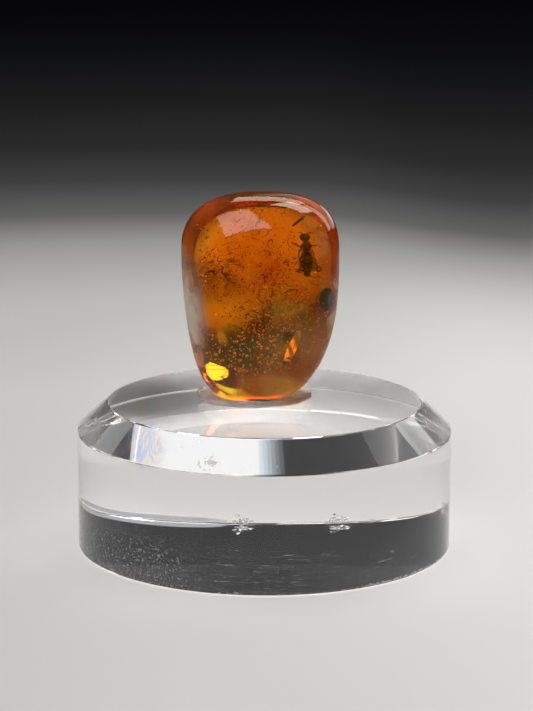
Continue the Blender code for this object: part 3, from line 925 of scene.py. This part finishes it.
def make_flow_lines():
    chance = random.Random(31)
    bm = bmesh.new()
    for _ in range(FLOW_LINES):
        radius, start = chance.uniform(0.8, 4.2), chance.uniform(0, 6.28)
        sweep, depth = chance.uniform(0.3, 1.0), chance.uniform(0.6, 2.4)
        points = []
        for step in range(len(FLOW_GIRTH)):
            angle = start + sweep * step / (len(FLOW_GIRTH) - 1)
            reach = radius * (1 + 0.05 * math.sin(5 * angle))
            x, z = FLOW_MIDDLE_X + reach * math.cos(angle), FLOW_MIDDLE_Z + reach * math.sin(angle)
            points.append(behind_face(x * MM, z * MM, depth * MM))
        if all(points):
            tube(bm, points, [FLOW_RADIUS * share for share in FLOW_GIRTH], sides=4)
    return add_piece("flow_lines", bm, dark_finish("flow_line", (0.22, 0.07, 0.012), (0.4, 0.15, 0.02)))


for veil in VEILS:
    make_veil(*veil)
make_flow_lines()

# %% [markdown]
# ## The mounting putty
#
# A lump of clear putty holds the pebble's foot. It is pressed out round it, dished by it, and its rim is
# crumpled by the fingers that pushed it there. Just under the foot an orange painted glow stands for
# light coming through the amber.

# %% Mounting putty
PUTTY_MIDDLE = Vector((-1.6, -1.9, 0.0)) * MM
PUTTY_HALF_WIDTH = 7.3 * MM
PUTTY_HALF_DEPTH = 4.2 * MM
PUTTY_HEIGHT = 2.1 * MM
PUTTY_POWER = 3.2
PUTTY_LUMPS = 0.07
PUTTY_CUTS = 26
PUTTY_GAP = 0.04 * MM
BASE_HEIGHT = 19.4 * MM


def putty_finish():
    finish = Finish("clear_putty", {"Transmission Weight": 0.85, "IOR": 1.45, "Roughness": 0.16})
    # painted light: orange from the amber painted on the putty just under the pebble's foot
    amber_glow = finish.near((3.4, 20.6), (3.0, 2.0), 1.0, 0.3, 0.8)
    clear = finish.mix(finish.noise(400, 3.0), (0.95, 0.86, 0.76), (1.0, 0.97, 0.92))
    finish.set(Base_Color=finish.mix(amber_glow, clear, (1.0, 0.62, 0.32)),
               Normal=finish.bump(finish.noise(800, 4.0, 0.6, distortion=1.0), 1.0, 0.35 * MM))
    finish.absorb((0.9, 0.75, 0.6), 60.0)
    return finish.material


def putty_point(direction):
    """An oval with waves and creases round it, pressed in from above by the pebble's foot."""
    rim = math.hypot(direction.x, direction.y)
    spread = rim ** (2 / PUTTY_POWER)
    turn = math.atan2(direction.y, direction.x)
    lumps = 1 + PUTTY_LUMPS * math.sin(3 * turn + 0.6) + 0.5 * PUTTY_LUMPS * math.sin(7 * turn)
    lumps += 0.012 * math.sin(23 * turn) * rim + 0.01 * math.sin(37 * turn + 1) * rim
    side = signed_power(math.cos(turn), 2 / OUTLINE_POWER) * spread * lumps
    depth = signed_power(math.sin(turn), 2 / OUTLINE_POWER) * spread * lumps
    height = max(0.5 + 0.5 * signed_power(direction.z, 2 / PUTTY_POWER), 0.0)
    crease = 1 - 0.06 * (1 + math.sin(17 * turn + 2 * math.sin(3 * turn))) * spread
    place = Vector((PUTTY_MIDDLE.x + PUTTY_HALF_WIDTH * side, PUTTY_MIDDLE.y + PUTTY_HALF_DEPTH * depth,
                    BASE_HEIGHT + PUTTY_GAP + PUTTY_HEIGHT * height * crease))
    above = pebble_tree.ray_cast(Vector((place.x, place.y, BASE_HEIGHT - 5 * MM)), Vector((0, 0, 1)))[0]
    if above:
        place.z = max(min(place.z, above.z - PUTTY_GAP), BASE_HEIGHT + PUTTY_GAP)
    return place


def make_putty():
    bm = ball_cage(PUTTY_CUTS)
    for vertex in bm.verts:
        vertex.co = putty_point(vertex.co.normalized())
    bmesh.ops.recalc_face_normals(bm, faces=bm.faces)
    return add_piece("putty_lump", bm, putty_finish(), levels=1, replaces=("mounting_putty",))


make_putty()

# %% [markdown]
# ## The display disc
#
# The disc is turned from cast acrylic, so its section is drawn once and spun round the axis. One place in
# the bevel carries painted rainbow bands, for light split into colours there, and the foot's back edge is
# chipped. A chip is a hollow, so it is made like a bubble. The disc casts no shadow: light through a clear
# block is more than this renderer's straight shadow rays can follow, and without it the floor behind stays
# bright.

# %% Display disc
BASE_RADIUS = 25.0 * MM
BASE_WALL_HEIGHT = 15.6 * MM
BASE_TOP_RADIUS = 21.0 * MM
BASE_EDGE_ROUND = 0.18 * MM
BASE_STEPS = 256
BASE_SHARP_ANGLE = math.radians(8)
# middle of the painted rainbow on the bevel, x and z in mm
RAINBOW_MIDDLE = (-15.4, 17.4)
CHIP_CLUSTERS = (-1.2, 3.9)       # across in mm, at the back foot edge
CHIPS_IN_CLUSTER = 30


def acrylic_finish():
    finish = Finish("clear_acrylic", {"Transmission Weight": 0.99, "IOR": 1.49, "Roughness": 0.0})
    finish.absorb((0.8, 0.82, 0.75), 0.8)
    # painted rainbow: at one place on the bevel the colour shows bands for light split into colours
    streaks = (finish.noise(170, 2.0, distortion=2.0) * 6.0).math('FRACT')
    colours = finish.ramp(streaks, [(0.0, (1.0, 0.8, 0.4)), (0.25, (0.95, 0.65, 0.6)), (0.45, (0.35, 0.48, 0.95)),
                                    (0.7, (0.45, 0.66, 0.95)), (1.0, (0.9, 0.85, 0.5))])
    finish.set(Base_Color=finish.mix(finish.near(RAINBOW_MIDDLE, (3.6, 2.9), 1.0, 0.5), (1.0, 1.0, 1.0), colours))
    return finish.material


def make_disc():
    bm = bmesh.new()
    outline = [(0.0, 0.0), (BASE_RADIUS, 0.0), (BASE_RADIUS, BASE_WALL_HEIGHT),
               (BASE_TOP_RADIUS, BASE_HEIGHT), (0.0, BASE_HEIGHT)]
    points = [bm.verts.new((radius, 0.0, height)) for radius, height in outline]
    for pair in zip(points, points[1:]):
        bm.edges.new(pair)
    bmesh.ops.bevel(bm, geom=points[1:-1], offset=BASE_EDGE_ROUND, segments=3, profile=0.5, affect='VERTICES',
                    material=-1)
    bmesh.ops.spin(bm, geom=bm.verts[:] + bm.edges[:], cent=(0, 0, 0), axis=(0, 0, 1),
                   angle=2 * math.pi, steps=BASE_STEPS, use_merge=True)
    bmesh.ops.remove_doubles(bm, verts=bm.verts, dist=0.0005 * MM)
    bmesh.ops.recalc_face_normals(bm, faces=bm.faces)
    outside_faces = len(bm.faces)
    chance = random.Random(3)
    for middle_x in CHIP_CLUSTERS:
        for _ in range(CHIPS_IN_CLUSTER):
            radius = chance.uniform(0.05, 0.17)
            place = Vector((middle_x + chance.gauss(0, 0.24), chance.uniform(23.0, 24.5),
                            0.15 + radius + abs(chance.gauss(0, 0.45)))) * MM
            size = Vector((radius, radius * chance.uniform(0.4, 1.2), radius)) * MM
            blob(bm, place, size, random_turn(chance))
    bmesh.ops.reverse_faces(bm, faces=list(bm.faces)[outside_faces:])
    return add_piece("clear_disc", bm, acrylic_finish(), replaces=("display_base",))


disc = make_disc()
disc.data.set_sharp_from_angle(angle=BASE_SHARP_ANGLE)
disc.visible_shadow = False

# %% [markdown]
# ## Scuffs on the disc
#
# Years on a shelf leave level scratches, dust and a worn foot. They are marks on the outside, so they lie
# on a shell a hundredth of a millimetre out, white where its alpha lets them show and nothing elsewhere.
# The same shell carries painted light, a pale haze at the two ends of the bevel.

# %% Disc scuffs
SCUFF_BANDS = (
    # radius and height of the lower ring, then of the upper one: the wall, and the bevel
    (BASE_RADIUS + 0.01 * MM, BASE_EDGE_ROUND, BASE_RADIUS + 0.01 * MM, 9 * MM + BASE_EDGE_ROUND),
    (BASE_RADIUS, BASE_WALL_HEIGHT + BASE_EDGE_ROUND, BASE_TOP_RADIUS + BASE_EDGE_ROUND, BASE_HEIGHT),
)
SCRATCH_STRETCH = (90.0, 90.0, 9000.0)      # thin in height and long round the wall
DASH_STRETCH = (500.0, 500.0, 14000.0)


def scuff_finish():
    """Marks over the lower front wall, a ragged worn foot, nicks on the bevel, and painted light as a pale haze at
    the bevel's two ends.
    """
    finish = Finish("scuffed_acrylic", {"Roughness": 0.7})
    across, away, height = (finish.axis(index) for index in range(3))
    behind = finish.between(away, 0.0, 5 * MM)
    front = 1 - behind
    lines = finish.between(finish.noise(1.0, 3.0, vector=finish.stretched(*SCRATCH_STRETCH)), 0.6, 0.7, 0.3)
    dashes = finish.between(finish.noise(1.0, 2.0, vector=finish.stretched(*DASH_STRETCH)), 0.66, 0.74, 0.5)
    low = finish.between(height, 8 * MM, 5 * MM) * finish.between(finish.noise(160, 2.0), 0.35, 0.6) * front
    dust = finish.between(finish.noise(2600, 3.0, 0.7), 0.52, 0.66) * finish.between(height, 9 * MM, 4 * MM)
    dust = dust * (0.14 + finish.between(across, -2 * MM, -16 * MM, 0.22)) * front
    ragged = (height + finish.noise(1500, 4.0, 0.7) * -1.6 * MM
              - finish.between(across, 4 * MM, 16 * MM, 0.3 * MM))
    foot = finish.between(ragged, -0.62 * MM, -0.9 * MM, 0.75)
    back_edge = finish.near((-4.6, 0.3), (3.0, 0.55), 1.0, 0.7) * behind
    marks = ((lines + dashes) * low + dust).math('MAXIMUM', foot).math('MAXIMUM', back_edge)
    high = finish.between(height, 15.5 * MM, 15.7 * MM)
    nicks = finish.between(finish.noise(1300, 4.0, 0.7), 0.68, 0.73, 0.7)
    patch = finish.near((-7.0, 16.6), (1.6, 0.8), 1.0, 0.7) * finish.between(finish.noise(1500, 3.0, 0.6), 0.5, 0.58)
    # painted light: a pale haze at the bevel's left and right ends
    ends = (finish.between(across.math('ABSOLUTE'), 18.0 * MM, 24.0 * MM, 0.5)
            * finish.between(finish.noise(330, 3.0), 0.05, 0.65))
    finish.set(Base_Color=finish.mix(high, (0.82, 0.86, 0.92), (0.88, 0.87, 0.82)),
               Alpha=marks + high * (nicks + patch * front + ends).capped(0.8))
    return finish.material


def make_scuffs():
    bm = bmesh.new()
    for lower_radius, lower_height, upper_radius, upper_height in SCUFF_BANDS:
        ring = bmesh.ops.create_circle(bm, segments=BASE_STEPS, radius=lower_radius)["verts"]
        bmesh.ops.translate(bm, vec=Vector((0, 0, lower_height)), verts=ring)
        made = bmesh.ops.extrude_edge_only(bm, edges=[edge for edge in bm.edges if edge.is_wire])["geom"]
        share = upper_radius / lower_radius
        for part in made:
            if isinstance(part, bmesh.types.BMVert):
                part.co = (part.co.x * share, part.co.y * share, upper_height)
    bmesh.ops.recalc_face_normals(bm, faces=bm.faces)
    return add_piece("disc_scuffs", bm, scuff_finish())


make_scuffs()

# %% [markdown]
# ## Floor and backdrop
#
# A clear object shows its surroundings, so the floor is part of the look. It is one large pale sheet whose
# colour carries painted light: it falls off into the dark with distance like a pool of light, with a
# painted brighter strip behind to the right, painted shade to the left of the disc and painted light to
# its right, a patch of painted shade in front for the disc's wall to show, and a painted shadow under the
# disc, which casts no shadow of its own.

# %% Floor and backdrop
FLOOR_DROP = 0.1 * MM
FLOOR_RADIUS = 2.5
FLOOR_REACH = 0.8
# the painted fall-off of light with distance
FLOOR_TONES = [
    # distance from the disc as a share of the reach, and the colour there
    (0.0, (0.87, 0.86, 0.83)), (0.12, (0.86, 0.855, 0.82)), (0.22, (0.67, 0.665, 0.63)), (0.30, (0.4, 0.4, 0.38)),
    (0.35, (0.16, 0.16, 0.157)), (0.42, (0.068, 0.068, 0.068)), (0.50, (0.034, 0.034, 0.034)),
    (0.65, (0.018, 0.018, 0.019)), (0.85, (0.009, 0.0095, 0.011)), (1.0, (0.006, 0.0062, 0.0078)),
]
LEFT_SHADE_MIDDLE = (-17 * MM, 17 * MM, 0)
BLACK, WHITE = (0.0, 0.0, 0.0), (1.0, 1.0, 0.99)
STUDIO_DARK = (0.013, 0.013, 0.014, 1.0)


def floor_finish():
    finish = Finish("pale_floor", {"Roughness": 0.7, "Specular IOR Level": 0.0})

    def away_from(point):
        return finish.node("ShaderNodeVectorMath", {"operation": 'DISTANCE'}, {0: finish.place(), 1: point},
                           output="Value")

    across, along, distance = finish.axis(0), finish.axis(1), away_from((0, 0, 0))
    # painted light: a brighter strip behind to the right; the stretch also makes the fall-off quicker to the right
    strip = (finish.between((across - along * 0.27).math('ABSOLUTE') - along * 0.075, 0.01, -0.01)
             * finish.between(along, 0.2, 0.26, 0.42)
             * finish.between(across - along * 0.1025, 0.035, 0.045))
    stretch = finish.between(across, 0.01, 0.06, 0.1) + 1.0 - strip
    close = finish.between(distance, 0.24, 0.1)
    under_disc = finish.between(distance, 25 * MM, 24 * MM)
    in_front = (finish.between(along, -0.068, -0.11)
                * finish.between(across.math('ABSOLUTE') + along * 1.3, 0.03, -0.03))
    # the painted fall-off of light with distance
    tone = finish.ramp(distance * stretch * (1 / FLOOR_REACH), FLOOR_TONES)
    finish.set(Base_Color=finish.layered(tone, (
        # painted shade to the left of the disc, painted light to its right
        (close * finish.between(across, 0.0, -0.045, 0.11), BLACK),
        (close * finish.between(across, 0.0, 0.045, 0.75), WHITE),
        # painted shadow under the disc, darkest behind to its left and browner towards its rim
        (finish.between(away_from(LEFT_SHADE_MIDDLE), 17 * MM, 5 * MM, 0.72) * under_disc, BLACK),
        (finish.between(distance, 6 * MM, 20 * MM, 0.25) * under_disc, (0.1, 0.06, 0.03)),
        # painted shade: a dark patch in front of the disc
        (in_front, (0.04, 0.04, 0.04)),
    )))
    return finish.material


bm = bmesh.new()
bmesh.ops.create_circle(bm, cap_ends=True, segments=96, radius=FLOOR_RADIUS)
bmesh.ops.translate(bm, vec=Vector((0, 0, -FLOOR_DROP)), verts=bm.verts)
floor = mesh_object("floor", bm, floor_finish())
floor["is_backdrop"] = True
world = bpy.data.worlds.new("dark_studio")
bpy.context.scene.world = world
world.use_nodes = True
world.node_tree.nodes["Background"].inputs["Color"].default_value = STUDIO_DARK
print("floor:", 2 * FLOOR_RADIUS, "m across, in a dark room")

# %% [markdown]
# ## Light
#
# The big soft light is behind and to the right, so that the clear bodies glow from within, and a window in
# front is mirrored in the pebble's face. In a studio, cards and flags keep a light off one thing or send it
# to another. Light linking does that here: some lights reach only the pebble, some only the disc, and the
# overhead light reaches all but the pebble. Six thin strips beside the big light soften its edge.

# %% Lights
LIGHT_AIM = Vector((0, 0, 25 * MM))
SKY = (0.75, 0.8, 1.0)
EDGE_STRIP_WIDTH = 0.0125
EDGE_STRIPS = (0.84, 0.68, 0.5, 0.34, 0.2, 0.1)


def lit_together(name, items):
    """A collection of the objects that some lights reach."""
    group = bpy.data.collections.new(name)
    for item in items:
        group.objects.link(item)
    return group


def softbox(name, azimuth, elevation, distance, width, height, radiance, colour=(1.0, 1.0, 1.0), roll=0.0, only=None,
            shape='RECTANGLE', aside=0.0):
    """A soft light in a direction from the pebble, turned to it and as bright as asked.

    The azimuth is counted in degrees from straight behind towards the right. `roll` turns the light in its
    own plane and `aside` shifts it there; `only` names the one group of objects that it reaches.
    """
    turn, lift = math.radians(azimuth), math.radians(elevation)
    direction = Vector((math.sin(turn) * math.cos(lift), math.cos(turn) * math.cos(lift), math.sin(lift)))
    lamp = bpy.data.lights.new(name, 'AREA')
    lamp.shape = shape
    lamp.size, lamp.size_y = width, height
    lamp.energy = radiance * math.pi * width * height
    lamp.color = colour
    light = place_in_scene(name, lamp)
    light.light_linking.receiver_collection = only
    facing = direction.to_track_quat('Z', 'Y').to_matrix().to_4x4() @ Matrix.Rotation(math.radians(roll), 4, 'Z')
    light.location = LIGHT_AIM + direction * distance + facing @ Vector((aside, 0, 0))
    light.rotation_euler = facing.to_euler()


amber_only = lit_together("amber_only", [pebble])
disc_only = lit_together("disc_only", [disc])
all_but_amber = lit_together("all_but_amber", [item for item in bpy.context.scene.objects
                                               if item.type == 'MESH' and item != pebble])
softbox("behind_right", 25, 40, 0.9, 0.6, 0.6, 0.96)
softbox("front_window", -157, 43, 1.2, 0.64, 0.74, 2.7, (1.0, 0.94, 0.98), roll=30)
softbox("right_strip", 62, 37, 0.9, 0.3, 0.45, 1.1)
softbox("overhead", 15, 75, 1.0, 0.7, 0.5, 5.0, only=all_but_amber)
softbox("tall_side_window", 85, 42, 0.9, 0.3, 0.8, 6.5, SKY, only=amber_only)
softbox("top_window", 118, 70, 0.9, 0.34, 0.44, 12.5, SKY, only=amber_only)
softbox("bar_light", 15, 75, 1.0, 0.62, 0.42, 6.0, only=amber_only)
softbox("window_sheen", -157, 43, 1.19, 0.64, 0.74, 4.0, (0.0, 0.3, 1.0), roll=30, only=amber_only)
softbox("low_glow", 41, 14, 0.9, 1.0, 0.22, 1.7, roll=-13, only=amber_only, shape='ELLIPSE')
softbox("rim_gold", 130, 40, 0.9, 0.36, 0.3, 1.3, (1.0, 0.8, 0.2), only=amber_only)
softbox("left_rim_glow", 120, 10, 0.9, 0.5, 0.4, 0.6, only=amber_only)
softbox("left_card", -42, 27.5, 0.9, 0.36, 0.2, 1.8, only=disc_only)
softbox("right_card", 40, 27, 0.9, 0.38, 0.23, 3.6, only=disc_only)
for strip, radiance in enumerate(EDGE_STRIPS):
    softbox(f"soft_edge_{strip + 1}", 25, 40, 0.9, EDGE_STRIP_WIDTH, 0.6, radiance, (0.84, 0.93, 1.0),
            only=disc_only, aside=0.3 + EDGE_STRIP_WIDTH * (strip + 0.5))
print("lights:", len(bpy.data.lights))

# %% [markdown]
# ## Camera
#
# A long lens a third of a metre away, a little above the disc and looking down on it, so that the disc's
# far edge and the floor are seen through its top. Light crosses many clear faces here, so it may bounce
# often; with fewer bounces the pebble's middle would turn black.

# %% Camera
CAMERA_PLACE = Vector((0.0, -331.1, 97.6)) * MM
CAMERA_PITCH = math.radians(12.28)
CAMERA_TURN = -0.0007
CAMERA_ROLL = 0.0044
CAMERA_LENS = 128.7
BOUNCES = 48

lens = bpy.data.cameras.new("camera")
lens.lens = CAMERA_LENS
lens.sensor_width = 36.0
lens.clip_start = 0.01
lens.clip_end = 20.0
camera = place_in_scene("camera", lens)
camera.matrix_world = (Matrix.Translation(CAMERA_PLACE) @ Matrix.Rotation(CAMERA_TURN, 4, 'Z')
                       @ Matrix.Rotation(math.pi / 2 - CAMERA_PITCH, 4, 'X') @ Matrix.Rotation(CAMERA_ROLL, 4, 'Z'))
scene = bpy.context.scene
scene.camera = camera
scene.view_settings.view_transform = 'Standard'
scene.cycles.max_bounces = BOUNCES
scene.cycles.transmission_bounces = BOUNCES
scene.cycles.glossy_bounces = BOUNCES
print("camera:", CAMERA_LENS, "mm lens,", round(CAMERA_PLACE.length / MM), "mm from the origin")

# %% [markdown]
# ## Sizes
#
# The dressed object should be as large as the frame. Both boxes are written down and printed.

# %% Compare the sizes and finish
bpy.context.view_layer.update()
for name, (low, high) in (("frame", frame_box), ("visual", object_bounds())):
    print(name, "size in mm:", [round((top - bottom) / MM, 2) for bottom, top in zip(low, high)])
